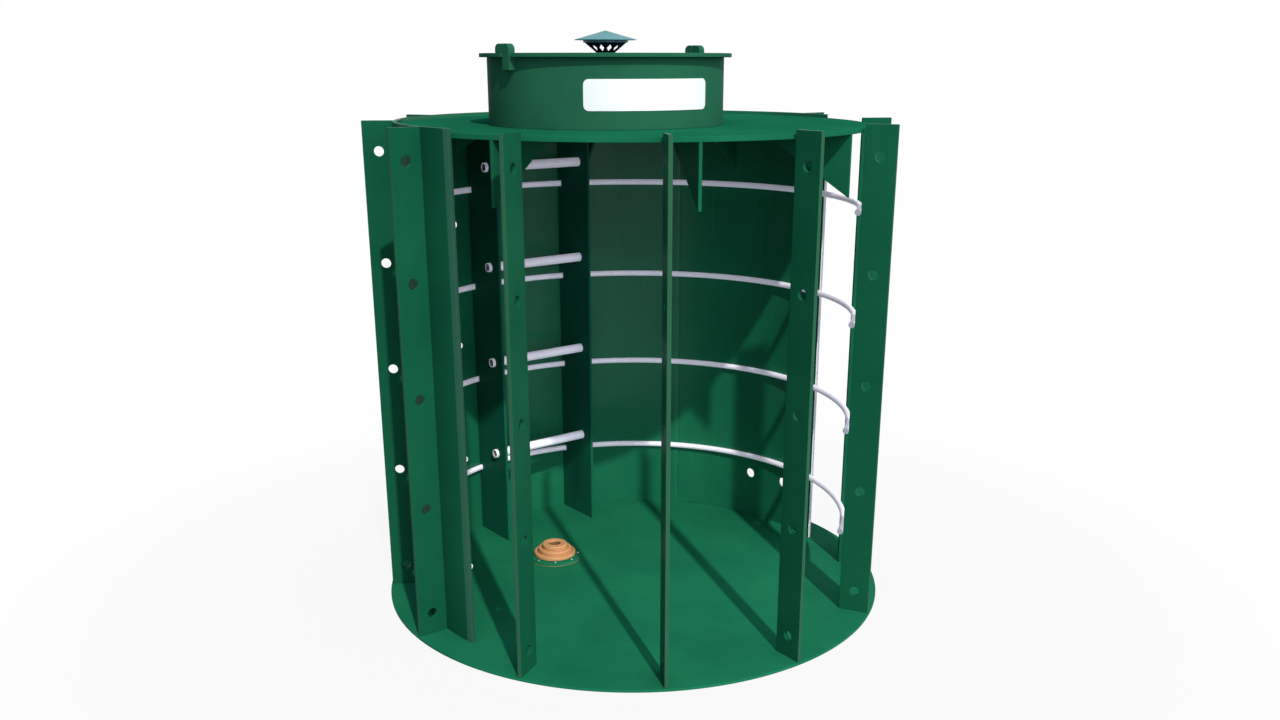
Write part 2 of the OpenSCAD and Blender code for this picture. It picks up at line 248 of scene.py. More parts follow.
def closed_mesh(name, verts, faces):
    """A mesh from points and faces, with doubled points merged and the faces turned outwards."""
    mesh = bpy.data.meshes.new(name)
    mesh.from_pydata(np.asarray(verts).tolist(), [], faces)
    shell = bmesh.new()
    shell.from_mesh(mesh)
    bmesh.ops.remove_doubles(shell, verts=shell.verts, dist=1e-6)
    bmesh.ops.recalc_face_normals(shell, faces=shell.faces)
    shell.to_mesh(mesh)
    shell.free()
    mesh.shade_smooth()
    return mesh


def add_piece(name, mesh, finish, replaced=(), body="caisson", edge=0.0):
    """Puts a mesh into the scene as a piece, with rounded edges and even shading.

    A mesh that paint_faces has painted keeps its finishes, and any other one gets the finish named.
    """
    piece = bpy.data.objects.new(name, mesh)
    bpy.context.scene.collection.objects.link(piece)
    if not mesh.materials:
        mesh.materials.append(bpy.data.materials[finish])
    if edge:
        rounding = piece.modifiers.new("rounding", "BEVEL")
        rounding.width = edge
        rounding.segments = 2
        rounding.limit_method = "ANGLE"
        rounding.angle_limit = math.radians(35)
        rounding.use_clamp_overlap = True
    even = piece.modifiers.new("even_shading", "WEIGHTED_NORMAL")
    even.weight = 90
    if replaced:
        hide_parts(*replaced)
    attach(piece, body)
    return piece


def turned_shape(corners, count):
    """A closed outline carried round an upright axis, which may differ from corner to corner.

    The corner (x, y, r, z) at angle t is (x + r cos t, y + r sin t, z).
    """
    outline = np.asarray(corners, float)
    m = len(outline)
    t = np.linspace(0.0, 2 * math.pi, count + 1)[:-1, None]
    verts = np.stack([
        outline[:, 0] + outline[:, 2] * np.cos(t),
        outline[:, 1] + outline[:, 2] * np.sin(t),
        outline[:, 3] + 0 * t,
    ], axis=-1).reshape(-1, 3)
    rows = np.arange(count)[:, None]
    after = (rows + 1) % count
    k = np.arange(m)
    beside = (k + 1) % m
    faces = np.stack([
        rows * m + k, after * m + k, after * m + beside, rows * m + beside,
    ], axis=-1).reshape(-1, 4).tolist()
    return verts, faces


def ring_mesh(name, outside, inside, low, high, count):
    """The space between two upright cylinders, each given as (x, y, radius), from height low to high."""
    corners = [(*outside, low), (*outside, high), (*inside, high), (*inside, low)]
    return closed_mesh(name, *turned_shape(corners, count))


def pierced_sheet(xs, ys, holes=(), notches=()):
    """A flat grid with round holes.

    Points lie where the x and y lines cross. Each hole takes a block of cells, given by its first and
    last x and y line, and is ringed by quads from the block's border to the circle, each circle point
    on the ray from the hole's middle to a border point. A notch is a block of cells left out.
    """
    nx = len(xs)
    ny = len(ys)
    gx, gy = np.meshgrid(xs, ys, indexing="ij")
    grid = np.stack([gx, gy], axis=-1).reshape(-1, 2)
    index = np.arange(nx * ny).reshape(nx, ny)
    keep = np.ones((nx - 1, ny - 1), bool)
    points = [grid]
    quads = []
    total = nx * ny
    for i0, i1, j0, j1 in notches:
        keep[i0:i1, j0:j1] = False
    for i0, i1, j0, j1, radius in holes:
        keep[i0:i1, j0:j1] = False
        loop = np.concatenate([
            index[i0:i1, j0], index[i1, j0:j1], index[i1:i0:-1, j1], index[i0, j1:j0:-1]])
        middle = np.array([(xs[i0] + xs[i1]) / 2, (ys[j0] + ys[j1]) / 2])
        ray = grid[loop] - middle
        points.append(middle + radius * ray / np.linalg.norm(ray, axis=1, keepdims=True))
        ring = total + np.arange(len(loop))
        total += len(loop)
        quads.append(np.stack([loop, np.roll(loop, -1), np.roll(ring, -1), ring], axis=-1))
    cells = np.stack([index[:-1, :-1], index[1:, :-1], index[1:, 1:], index[:-1, 1:]], axis=-1)
    quads.append(cells[keep])
    return np.vstack(points), np.vstack(quads)


def thick_sheet(points, quads, front, back):
    """Two copies of a flat grid, put in place by the maps front and back, and joined along every rim.

    An edge that only one quad has is a rim edge.
    """
    used, flat = np.unique(quads, return_inverse=True)
    quads = flat.reshape(quads.shape)
    points = points[used]
    n = len(points)
    edges = np.stack([quads, np.roll(quads, -1, axis=1)], axis=-1).reshape(-1, 2)
    key = np.sort(edges, axis=1)
    _, first, times = np.unique(key, axis=0, return_index=True, return_counts=True)
    rim = edges[first[times == 1]]
    sides = np.stack([rim[:, 0], rim[:, 0] + n, rim[:, 1] + n, rim[:, 1]], axis=-1)
    verts = np.vstack([front(points), back(points)])
    faces = np.vstack([quads, quads[:, ::-1] + n, sides])
    return verts, faces.tolist()


def paint_faces(mesh, names, pick):
    """Gives each face one of the named finishes. pick turns the faces' middles into finish numbers."""
    for name in names:
        mesh.materials.append(bpy.data.materials[name])
    middle = np.empty(len(mesh.polygons) * 3)
    mesh.polygons.foreach_get("center", middle)
    mesh.polygons.foreach_set("material_index", pick(middle.reshape(-1, 3)).astype(int))


def block(centres, half=BLOCK):
    """Grid lines of equal steps from half below each centre to half above it."""
    return (np.atleast_1d(centres)[:, None] + np.linspace(-half, half, BLOCK_STEPS + 1)).reshape(-1)


def directions(angle):
    """The outward and the sideways direction at an angle round the axis."""
    out = np.array([math.cos(angle), math.sin(angle), 0.0])
    return out, np.array([-out[1], out[0], 0.0])


def upright(angle, across):
    """A map to the vertical plane at an angle round the axis, moved sideways by across.

    (r, h) goes to r times the outward direction, plus across times the sideways one, at height h.
    """
    out, side = directions(angle)

    def place(points):
        return points[:, :1] * out + across * side + points[:, 1:] * UP

    return place


def on_cylinder(radius, middle=(0.0, 0.0)):
    """A map to an upright cylinder: (a, h) goes to (x + radius cos a, y + radius sin a, h)."""

    def place(points):
        angle, height = points.T
        return np.stack([
            middle[0] + radius * np.cos(angle), middle[1] + radius * np.sin(angle), height], axis=-1)

    return place


def on_disc(height, middle):
    """A map to a level disc: (a, r) goes to (x + r cos a, y + r sin a, height)."""

    def place(points):
        angle, reach = points.T
        return np.stack([
            middle[0] + reach * np.cos(angle), middle[1] + reach * np.sin(angle),
            np.full(len(points), height)], axis=-1)

    return place


def from_line(points, middle, along):
    """Distance of points from the line through middle in the direction along: |d - (d . along) along|."""
    away = points - middle
    return np.linalg.norm(away - (away @ along)[:, None] * along, axis=1)


class CAISSON_OT_floor(bpy.types.Operator):
    """Builds the round floor plate with the hole under the pipe seal"""

    bl_idname = "caisson.floor"
    bl_label = "Floor plate"

    def execute(self, context):
        shape = context.scene.caisson_shape
        low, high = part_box("floor_plate")
        rim = (0.0, 0.0, plan_radius("floor_plate"))
        mesh = ring_mesh("floor_disc", rim, (*SEAL_AT, shape.seal_hole), low[2], high[2], 320)
        add_piece("floor_disc", mesh, "green_floor", ["floor_plate"], edge=shape.edge)
        return {"FINISHED"}


class CAISSON_OT_wall(bpy.types.Operator):
    """Builds the four segments of the round wall, the first with its two pipe holes"""

    bl_idname = "caisson.wall"
    bl_label = "Round wall"

    def execute(self, context):
        shape = context.scene.caisson_shape
        outer = shape.wall_radius
        inner = outer - shape.wall
        names = ["wall_right", "wall_back_right", "wall_back_left", "wall_left"]
        finishes = ["green_wall", "green_inside", "cut_plastic", "cut_green", "painted_reflection_green"]
        ends = np.linspace(shape.wall_from, shape.wall_to, 5)
        strip = ends[4] - shape.scraped

        def pick(middle):
            """The number of a face's finish, from its distance from the axis and its angle."""
            reach = np.hypot(middle[:, 0], middle[:, 1])
            turn = np.arctan2(middle[:, 1], middle[:, 0]) % (2 * np.pi)
            marks = np.zeros(len(middle))
            # Beyond strip, the outer face and the edges get a lighter green, a painted reflection beside
            # the left saw cut.
            marks[turn > strip] = 4
            # Inner faces get the lighter, glossier green and outer faces the darker one: painted light and
            # shade on one sheet.
            marks[reach < inner + 0.001] = 1
            marks[np.abs(turn - ends[0]) < 1e-4] = 2
            marks[np.abs(turn - ends[4]) < 1e-4] = 3
            return marks

        for n, name in enumerate(names):
            turns = np.linspace(ends[n], ends[n + 1], 41)
            heights = np.linspace(FLOOR_TOP, WALL_TOP, 10)
            holes = []
            if n == 0:
                turns, heights, holes = pipe_hole_grid(shape, turns)
            if n == 3:
                turns = np.sort(np.append(turns, strip))
            points, quads = pierced_sheet(turns * outer, heights, holes)
            points = points / [outer, 1.0]
            verts, faces = thick_sheet(points, quads, on_cylinder(outer), on_cylinder(inner))
            mesh = closed_mesh(name + "_sheet", verts, faces)
            paint_faces(mesh, finishes, pick)
            replaced = [name, "wall_right_low"] if n == 0 else [name]
            edge = shape.edge if n in (0, 3) else 0.0
            add_piece(name + "_sheet", mesh, "green_wall", replaced, edge=edge)
        return {"FINISHED"}


def pipe_hole_grid(shape, turns):
    """Grid lines of the wall's first segment, with a fine block round each pipe hole, and the holes.

    The even lines that come near a block are left out. half is half a block's width, and the heights
    are one even line below the block, the block itself and nine even lines above it.
    """
    half = 0.034
    turn_half = half / shape.wall_radius
    at = shape.pipe_from + shape.pipe_step * np.arange(2)
    near = block(at, turn_half)
    clear = np.abs(turns[:, None] - at).min(axis=1) > 1.25 * turn_half
    turns = np.sort(np.concatenate([turns[clear], near]))
    heights = np.concatenate([
        [FLOOR_TOP, FLOOR_TOP + 0.08], block(FLOOR_TOP + shape.pipe_height, half),
        np.linspace(0.36, WALL_TOP, 9)])
    columns = np.searchsorted(turns, near[::BLOCK_STEPS + 1] - 1e-9)
    holes = [(i, i + BLOCK_STEPS, 2, 2 + BLOCK_STEPS, shape.pipe_hole) for i in columns]
    return turns, heights, holes


class CAISSON_OT_ribs(bpy.types.Operator):
    """Builds the twelve upright ribs, each with its row of round holes"""

    bl_idname = "caisson.ribs"
    bl_label = "Ribs"

    def execute(self, context):
        shape = context.scene.caisson_shape
        inner = shape.wall_radius + shape.gap
        outer = shape.rib_reach
        levels = FLOOR_TOP + shape.rib_hole_from + shape.level * np.arange(5)
        xs = np.concatenate([[inner], block((inner + outer) / 2), [outer]])
        ys = np.concatenate([[FLOOR_TOP], block(levels), [WALL_TOP]])
        rows = 1 + np.arange(5) * (BLOCK_STEPS + 1)
        holes = [(1, 1 + BLOCK_STEPS, j, j + BLOCK_STEPS, shape.rib_hole) for j in rows]
        points, quads = pierced_sheet(xs, ys, holes)
        for n in range(12):
            angle = shape.rib_first + n * math.radians(30)
            verts, faces = thick_sheet(
                points, quads, upright(angle, shape.rib / 2), upright(angle, -shape.rib / 2))
            name = "rib_%02d" % (n + 1)
            mesh = closed_mesh(name + "_plate", verts, faces)
            paint_faces(
                mesh, ["green_rib", "sawn_edge"],
                lambda middle: np.hypot(middle[:, 0], middle[:, 1]) > outer - 0.0005)
            add_piece(name + "_plate", mesh, "green_rib", [name], edge=shape.edge)
        return {"FINISHED"}


class CAISSON_OT_roof(bpy.types.Operator):
    """Builds the roof plate with the opening under the neck, and the triangles that stay it"""

    bl_idname = "caisson.roof"
    bl_label = "Roof"

    def execute(self, context):
        shape = context.scene.caisson_shape
        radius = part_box("roof_plate")[1][0]
        opening = (*NECK_AT, NECK_RADIUS - shape.neck_wall)
        mesh = ring_mesh("roof_disc", (0.0, 0.0, radius), opening, ROOF_UNDER, ROOF_TOP, 320)
        add_piece("roof_disc", mesh, "green_roof", ["roof_plate"], edge=shape.edge)

        # Each stay is a right triangle in an upright plane, with one side under the roof. They stand
        # every 45 degrees, but none where the left stringer meets the roof.
        back = radius - shape.gap
        triangle = np.array([
            [back, ROOF_UNDER],
            [back - shape.stay_width, ROOF_UNDER],
            [back, ROOF_UNDER - shape.stay_drop]])
        verts = []
        faces = []
        for n in range(7):
            angle = shape.stay_first + n * math.radians(45)
            first = 6 * n
            verts.append(upright(angle, shape.stay / 2)(triangle))
            verts.append(upright(angle, -shape.stay / 2)(triangle))
            faces.append([first, first + 1, first + 2])
            faces.append([first + 5, first + 4, first + 3])
            faces.extend([
                [first + a, first + 3 + a, first + 3 + b, first + b] for a, b in ((0, 1), (1, 2), (2, 0))])
        mesh = closed_mesh("roof_stays", np.vstack(verts), faces)
        add_piece("roof_stays", mesh, "green_gusset", ["roof_gussets"], edge=shape.edge)
        return {"FINISHED"}


class CAISSON_OT_neck(bpy.types.Operator):
    """Builds the neck and the plain sign plate on it"""

    bl_idname = "caisson.neck"
    bl_label = "Neck"

    def execute(self, context):
        shape = context.scene.caisson_shape
        inside = (*NECK_AT, NECK_RADIUS - shape.neck_wall)
        mesh = ring_mesh("neck_tube", (*NECK_AT, NECK_RADIUS), inside, NECK_FOOT, NECK_TOP, 240)
        add_piece("neck_tube", mesh, "green_neck", ["neck"], edge=shape.edge)

        # The sign is a flat grid with rounded corners, bent round the neck. It stands 2 mm proud of it.
        size = np.array([shape.sign_turn * NECK_RADIUS, shape.sign_tall])
        points, quads = pierced_sheet(
            np.linspace(-size[0] / 2, size[0] / 2, 60), np.linspace(-size[1] / 2, size[1] / 2, 14))
        for turn in np.array([[1, 1], [-1, 1], [-1, -1], [1, -1]]):
            points = round_corner(points, turn * (size / 2 - shape.sign_round), turn)
        points = points / [NECK_RADIUS, 1.0] + [shape.sign_at, shape.sign_level]
        front = on_cylinder(NECK_RADIUS + 0.002, NECK_AT)
        back = on_cylinder(NECK_RADIUS - 0.001, NECK_AT)
        mesh = closed_mesh("sign_plate", *thick_sheet(points, quads, front, back))
        add_piece("sign_plate", mesh, "sign_white", edge=0.0006)
        return {"FINISHED"}


def round_corner(points, centre, turn):
    """Pulls the points of a flat grid beyond a corner's centre into a round corner.

    turn holds the signs of the two directions in which the corner lies. A point at (u, v) from the
    centre, both positive, moves along its ray: (u, v) * max(u, v) / |(u, v)|, so that the border of the
    corner's square lands on a circle.
    """
    part = (points - centre) * turn
    inside = (part > 1e-9).all(axis=1)
    near = part[inside]
    scale = near.max(axis=1, keepdims=True) / np.linalg.norm(near, axis=1, keepdims=True)
    moved = points.copy()
    moved[inside] = centre + turn * near * scale
    return moved


class CAISSON_OT_lid(bpy.types.Operator):
    """Builds the round lid with its notches for the ears"""

    bl_idname = "caisson.lid"
    bl_label = "Lid"

    def execute(self, context):
        shape = context.scene.caisson_shape
        low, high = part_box("lid")
        # A grid of angles and radii. The outermost cell that starts at an ear's middle is its notch.
        half = 97
        turns = np.concatenate([
            [0.0], np.linspace(shape.notch_turn, math.pi, half),
            np.linspace(math.pi + shape.notch_turn, 2 * math.pi, half)]) + shape.hinge_at
        reaches = np.array([shape.lid_hole, 0.2, shape.lid_radius - shape.notch_depth, shape.lid_radius])
        points, quads = pierced_sheet(turns, reaches, notches=[(0, 1, 2, 3), (half, half + 1, 2, 3)])
        # The last angle is the first one after a full turn, so its points are the first ones.
        quads = quads % ((len(turns) - 1) * len(reaches))
        verts, faces = thick_sheet(points, quads, on_disc(low[2], NECK_AT), on_disc(high[2], NECK_AT))
        mesh = closed_mesh("lid_disc", verts, faces)
        add_piece("lid_disc", mesh, "green_neck", ["lid"], body="lid", edge=shape.edge)
        return {"FINISHED"}


class CAISSON_OT_ears(bpy.types.Operator):
    """Builds the two ears of the lid, each with a fixed half on the neck and a half on the lid"""

    bl_idname = "caisson.ears"
    bl_label = "Ears"

    def execute(self, context):
        shape = context.scene.caisson_shape
        half = shape.ear_width / 2
        top = LID_TOP + shape.ear_height
        low = LID_UNDER - shape.ear_drop
        hinge = shape.hinge_at
        hasp = shape.hinge_at - math.pi
        halves = (
            ("hinge_fixed", hinge, 1, 0.0015, low, "caisson", ["hinge_bracket", "hinge_pin"]),
            ("hinge_moving", hinge, -1, 0.0015, LID_TOP, "lid", ["hinge_knuckle"]),
            ("hasp_fixed", hasp, 1, 0.003, low, "caisson", ["hasp_bracket"]),
            ("hasp_moving", hasp, -1, 0.003, LID_TOP, "lid", ["hasp_block"]))
        curve = shape.ear_round * np.linspace(1.0, 0.0, 9)
        for name, angle, way, split, foot, body, replaced in halves:
            out, side = directions(angle)
            points, quads = pierced_sheet(np.append(split, half - curve), np.append(foot, top - curve))
            points = round_corner(points, np.array([half, top]) - shape.ear_round, np.array([1, 1]))

            def put(flat, reach):
                """(y, h) goes to reach outwards and y sideways of the neck's middle, at height h."""
                sideways = way * flat[:, :1] * side
                return np.array([*NECK_AT, 0.0]) + reach * out + sideways + flat[:, 1:] * UP

            # The front is flat, and the back follows the neck.
            verts, faces = thick_sheet(
                points, quads,
                lambda flat: put(flat, NECK_RADIUS + shape.ear_depth),
                lambda flat: put(flat, np.sqrt((NECK_RADIUS + 0.0001) ** 2 - flat[:, :1] ** 2)))
            mesh = closed_mesh(name, verts, faces)
            add_piece(name, mesh, "green_neck", replaced, body, 0.0012)
        return {"FINISHED"}


class CAISSON_OT_vent(bpy.types.Operator):
    """Builds the vent's cone cap and the collar under it"""

    bl_idname = "caisson.vent"
    bl_label = "Vent"

    def execute(self, context):
        shape = context.scene.caisson_shape
        low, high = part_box("vent_cap")
        radius = plan_radius("vent_cap")
        rim = low[2] + 0.002
        profile = (
            (0.0, high[2]), (radius, rim), (radius, low[2]), (0.072, low[2]), (0.072, rim),
            (0.0, high[2] - 0.008))
        mesh = closed_mesh("vent_cone", *turned_shape([(*NECK_AT, *corner) for corner in profile], 128))
        add_piece("vent_cone", mesh, "cap_plastic", ["vent_cap"], body="lid", edge=0.0006)

        outside = (*NECK_AT, shape.collar)
        inside = (*NECK_AT, shape.collar - 0.0022)
        mesh = ring_mesh("vent_collar", outside, inside, low[2] - 0.0082, low[2] - 0.0005, 128)
        add_piece("vent_collar", mesh, "collar_plastic", body="lid", edge=0.0006)
        return {"FINISHED"}


class CAISSON_OT_ladder(bpy.types.Operator):
    """Builds the two stringers and the four pipe rungs of the ladder"""

    bl_idname = "caisson.ladder"
    bl_label = "Ladder"

    def execute(self, context):
        shape = context.scene.caisson_shape
        half = shape.ladder_width / 2
        thick = shape.stringer / 2
        # The back edge reaches the inside of the wall, and its slots take the hoops.
        back = math.sqrt((shape.wall_radius - shape.wall) ** 2 - (half + thick) ** 2) - shape.gap
        slot_from = math.sqrt(shape.hoop_at ** 2 - half ** 2) - shape.hoop_slot
        rungs = FLOOR_TOP + shape.rung_from + shape.level * np.arange(4)
        hoops = FLOOR_TOP + shape.hoop_from + shape.level * np.arange(4)
        xs = np.sort(np.concatenate([[shape.stringer_from, slot_from, back], block(shape.rung_at)]))
        ys = np.sort(np.concatenate([
            [FLOOR_TOP, ROOF_UNDER], block(rungs), hoops - shape.hoop_slot, hoops + shape.hoop_slot]))
        column = np.searchsorted(xs, shape.rung_at - BLOCK - 1e-9)
        slot_column = np.searchsorted(xs, slot_from - 1e-9)
        rows = np.searchsorted(ys, rungs - BLOCK - 1e-9)
        slot_rows = np.searchsorted(ys, hoops - shape.hoop_slot - 1e-9)
        bore = shape.rung + shape.gap
        holes = [(column, column + BLOCK_STEPS, j, j + BLOCK_STEPS, bore) for j in rows]
        notches = [(slot_column, len(xs) - 1, j, j + 1) for j in slot_rows]
        points, quads = pierced_sheet(xs, ys, holes, notches)
        for name, side in (("stringer_left", half), ("stringer_right", -half)):
            verts, faces = thick_sheet(
                points, quads,
                upright(shape.ladder_at, side + thick), upright(shape.ladder_at, side - thick))
            mesh = closed_mesh(name + "_plate", verts, faces)
            add_piece(name + "_plate", mesh, "green_stringer", [name], edge=shape.edge)

        reach = half + thick + shape.rung_end
        inner = shape.rung - shape.tube_wall
        verts, faces = turned_shape([
            (0.0, 0.0, shape.rung, -reach), (0.0, 0.0, shape.rung, reach),
            (0.0, 0.0, inner, reach), (0.0, 0.0, inner, -reach)], 64)
        out, along = directions(shape.ladder_at)
        pipe = verts[:, :1] * out + verts[:, 1:2] * UP + verts[:, 2:] * along
        for n, height in enumerate(rungs):
            name = "rung_%d" % (n + 1)
            middle = shape.rung_at * out + height * UP
            mesh = closed_mesh(name + "_pipe", pipe + middle, faces)
            # The bore's faces get a darker finish, painted shade inside the pipe.
            paint_faces(
                mesh, ["pale_tube", "tube_bore_painted_shade"],
                lambda points: from_line(points, middle, along) < inner + 0.001)
            add_piece(name + "_pipe", mesh, "pale_tube", [name], edge=0.0008)
        return {"FINISHED"}


class CAISSON_OT_hoops(bpy.types.Operator):
    """Builds the four pipe hoops that follow the wall, with closed ends"""

    bl_idname = "caisson.hoops"
    bl_label = "Hoops"

    def execute(self, context):
        shape = context.scene.caisson_shape
        # At angle t along the hoop and p round its pipe, of radius s, a point is R + s cos p from the
        # axis and s sin p above the hoop's level. s falls to 0 at both ends, which closes them.
        around = 32
        lip = np.array([0.0, 0.72, 0.93, 1.0])
        step = np.array([0.0, 0.0, 0.0006, 0.0018]) / shape.hoop_at
        turns = np.concatenate([
            shape.hoop_start + step, np.linspace(shape.hoop_start, shape.hoop_stop, 182)[1:-1],
            (shape.hoop_stop - step)[::-1]])
        size = shape.hoop * np.concatenate([lip, np.ones(180), lip[::-1]])[:, None]
        t, p = np.meshgrid(turns, np.linspace(0, 2 * np.pi, around + 1)[:-1], indexing="ij")
        reach = shape.hoop_at + size * np.cos(p)
        k = np.arange(around)
        beside = (k + 1) % around
        rows = np.arange(len(turns) - 1)[:, None] * around
        faces = np.stack([
            rows + k, rows + around + k, rows + around + beside, rows + beside,
        ], axis=-1).reshape(-1, 4).tolist()
        for n in range(4):
            height = FLOOR_TOP + shape.hoop_from + n * shape.level
            verts = np.stack([
                reach * np.cos(t), reach * np.sin(t), height + size * np.sin(p)], axis=-1).reshape(-1, 3)
            name = "hoop_%d" % (n + 1)
            mesh = closed_mesh(name + "_pipe", verts, faces)
            add_piece(name + "_pipe", mesh, "pale_tube", [name])
        return {"FINISHED"}


class CAISSON_OT_seal(bpy.types.Operator):
    """Builds the pipe seal: flange, bead, bolts and stepped rubber boot"""

    bl_idname = "caisson.seal"
    bl_label = "Pipe seal"

    def execute(self, context):
        shape = context.scene.caisson_shape
        low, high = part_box("seal_flange")
        radius = plan_radius("seal_flange")
        hole = (*SEAL_AT, shape.seal_hole)
        mesh = ring_mesh("seal_plate", (*SEAL_AT, radius), hole, low[2], high[2], 128)
        add_piece("seal_plate", mesh, "green_floor", ["seal_flange"], edge=shape.edge)

        # The bead is a thin round cord at the foot of the flange.
        bead = 0.0014
        turn = np.linspace(0.0, 2 * np.pi, 13)[:-1]
        profile = np.stack([radius + bead * np.cos(turn), low[2] + bead + bead * np.sin(turn)], axis=-1)
        mesh = closed_mesh("seal_bead", *turned_shape([(*SEAL_AT, *corner) for corner in profile], 128))
        add_piece("seal_bead", mesh, "bead_rubber")

        profile = boot_profile(shape.seal_hole) + [0.0, high[2]]
        mesh = closed_mesh("boot_rings", *turned_shape([(*SEAL_AT, *corner) for corner in profile], 128))
        add_piece("boot_rings", mesh, "boot_rubber", ["seal_boot"])

        # A bolt is a washer with a head on it, and one mesh holds them all.
        profile = (
            (0.0, 0.0), (0.0050, 0.0), (0.0050, 0.0010), (0.0034, 0.0012), (0.0034, 0.0032),
            (0.0028, 0.0040), (0.0, 0.0040))
        head, loops = turned_shape([(0.0, 0.0, *corner) for corner in profile], 18)
        turns = shape.bolt_first + 2 * np.pi * np.arange(shape.bolts) / shape.bolts
        places = np.stack([turns, np.full(shape.bolts, shape.bolt_ring)], axis=-1)
        seats = on_disc(high[2], SEAL_AT)(places)
        verts = (seats[:, None] + head).reshape(-1, 3)
        faces = (np.arange(shape.bolts)[:, None, None] * len(head) + np.array(loops)).reshape(-1, 4)
        mesh = closed_mesh("seal_bolts", verts, faces.tolist())
        add_piece("seal_bolts", mesh, "bolt_zinc")
        return {"FINISHED"}


def boot_profile(foot_bore):
    """Outline of the rubber boot, as radius and height over the flange, from its foot up and back inside.

    Each of three rings has two quarter-round edges, and a groove parts it from the next smaller one. A
    half-round lip ends the boot at its mouth.
    """
    tall = 0.017
    curl = 0.005
    low_turn = np.linspace(-math.pi / 2, 0.0, 6)
    high_turn = np.linspace(0.0, math.pi / 2, 6)
    profile = []
    for ring in range(3):
        side = 0.089 - 0.018 * ring
        foot = tall * ring
        top = foot + tall
        profile.append(np.stack([
            side - curl + curl * np.cos(low_turn), foot + curl + curl * np.sin(low_turn)], axis=-1))
        profile.append(np.stack([
            side - curl + curl * np.cos(high_turn), top - curl + curl * np.sin(high_turn)], axis=-1))
        profile.append(np.array([
            [side - 0.012, top - 0.0004], [side - 0.0145, top - 0.0045],
            [side - 0.0185, top - 0.0050], [side - 0.0215, top - 0.0010]]))
    profile[-1] = np.array([[0.036, 0.0507], [0.033, 0.0492]])
    mouth = np.linspace(0.0, math.pi, 9)
    lip = np.stack([0.0295 + 0.0025 * np.cos(mouth), 0.0480 + 0.0030 * np.sin(mouth)], axis=-1)
    inside = np.array([[0.027, 0.042], [0.030, 0.040], [foot_bore, 0.006], [foot_bore, 0.0]])
    return np.vstack(profile + [lip, inside])


# A streak runs along the axis on which its noise has the small scale: up, or from left to right.
UPRIGHT_STREAKS = (40.0, 40.0, 1.2)
LEVEL_STREAKS = (1.2, 40.0, 40.0)


def new_group(name, sockets_in, sockets_out):
    """Makes an empty shader node group with the named inputs and outputs."""
    group = bpy.data.node_groups.new(name, "ShaderNodeTree")
    for label, kind, value in sockets_in:
        socket = group.interface.new_socket(label, in_out="INPUT", socket_type=kind)
        socket.default_value = value
    for label, kind in sockets_out:
        group.interface.new_socket(label, in_out="OUTPUT", socket_type=kind)
    inside = group.nodes.new("NodeGroupInput")
    outside = group.nodes.new("NodeGroupOutput")
    return group, inside, outside


def new_node(nodes, kind, values=(), **settings):
    """A new shader node with its settings, and with the named sockets set to values."""
    node = nodes.new(kind)
    for setting, value in settings.items():
        setattr(node, setting, value)
    for socket, value in values:
        node.inputs[socket].default_value = value
    return node


def sheet_skin():
    """Extruded sheet: a slow mottle of the colour, a fine orange peel and faint long streaks.

    Mottle is a broad noise with more contrast, Height is a fine noise, and Scuff is the peaks of a noise
    that is stretched along one axis.
    """
    group, inside, outside = new_group(
        "sheet_skin",
        [
            ("Mottle Scale", "NodeSocketFloat", 2.5),
            ("Peel Scale", "NodeSocketFloat", 90.0),
            ("Streak Scale", "NodeSocketVector", UPRIGHT_STREAKS),
        ],
        [("Mottle", "NodeSocketFloat"), ("Height", "NodeSocketFloat"), ("Scuff", "NodeSocketFloat")])
    nodes = group.nodes
    links = group.links
    place = nodes.new("ShaderNodeTexCoord")
    mottle = new_node(nodes, "ShaderNodeTexNoise", [("Detail", 4.0), ("Roughness", 0.55)])
    links.new(place.outputs["Object"], mottle.inputs["Vector"])
    links.new(inside.outputs["Mottle Scale"], mottle.inputs["Scale"])
    spread = new_node(nodes, "ShaderNodeMapRange", [("From Min", 0.3), ("From Max", 0.7)])
    links.new(mottle.outputs["Fac"], spread.inputs["Value"])
    links.new(spread.outputs["Result"], outside.inputs["Mottle"])
    peel = new_node(nodes, "ShaderNodeTexNoise", [("Detail", 2.0)])
    links.new(place.outputs["Object"], peel.inputs["Vector"])
    links.new(inside.outputs["Peel Scale"], peel.inputs["Scale"])
    links.new(peel.outputs["Fac"], outside.inputs["Height"])
    stretch = nodes.new("ShaderNodeMapping")
    links.new(inside.outputs["Streak Scale"], stretch.inputs["Scale"])
    links.new(place.outputs["Object"], stretch.inputs["Vector"])
    streak = new_node(nodes, "ShaderNodeTexNoise", [("Scale", 1.0), ("Detail", 6.0)])
    links.new(stretch.outputs["Vector"], streak.inputs["Vector"])
    thin = new_node(nodes, "ShaderNodeMapRange", [("From Min", 0.55), ("From Max", 0.8)])
    links.new(streak.outputs["Fac"], thin.inputs["Value"])
    links.new(thin.outputs["Result"], outside.inputs["Scuff"])
    return group


def plain_bsdf(name):
    """A new material with its nodes, its links and its shader."""
    material = bpy.data.materials.new(name)
    material.use_nodes = True
    nodes = material.node_tree.nodes
    return material, nodes, material.node_tree.links, nodes["Principled BSDF"]


